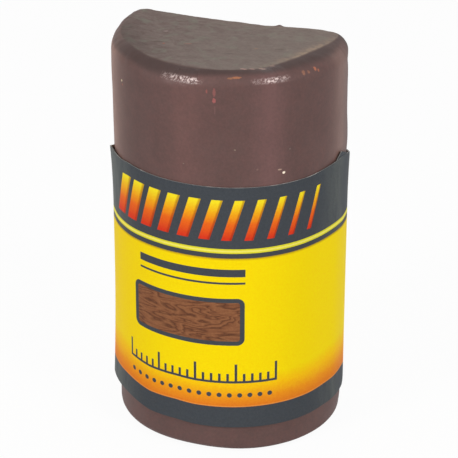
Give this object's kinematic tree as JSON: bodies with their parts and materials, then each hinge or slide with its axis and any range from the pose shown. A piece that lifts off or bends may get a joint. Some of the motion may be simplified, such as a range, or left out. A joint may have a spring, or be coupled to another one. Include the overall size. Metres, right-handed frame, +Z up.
{
  "type": "furniture repair wax stick",
  "caption": "Half-moon block of brown repair wax with a flat top and a hollow back, in a paper label that wraps round it and slides down as the wax is used.",
  "frame": {"origin": "centre of the front curve, on the flat foot that the stick stands on", "axes": "+Z up along the stick, -Y out of the rounded front, +Y out of the hollow back, +X to the right as the front is seen"},
  "size_m": [0.0258, 0.0178, 0.044],
  "materials": {
    "wax": "cast wax, softly glossy",
    "label_paper": "printed and satin coated",
    "adhesive": "pressure-sensitive adhesive"
  },
  "bodies": {
    "stick": {"wax_stick": "wax"},
    "label": {"label_wrap": "label_paper", "lap_glue": "adhesive"}
  },
  "joints": [
    {"name": "label_slide", "type": "slide", "parent": "stick", "child": "label", "axis": [0, 0, -1], "range_m": [0, 0.0032]}
  ]
}
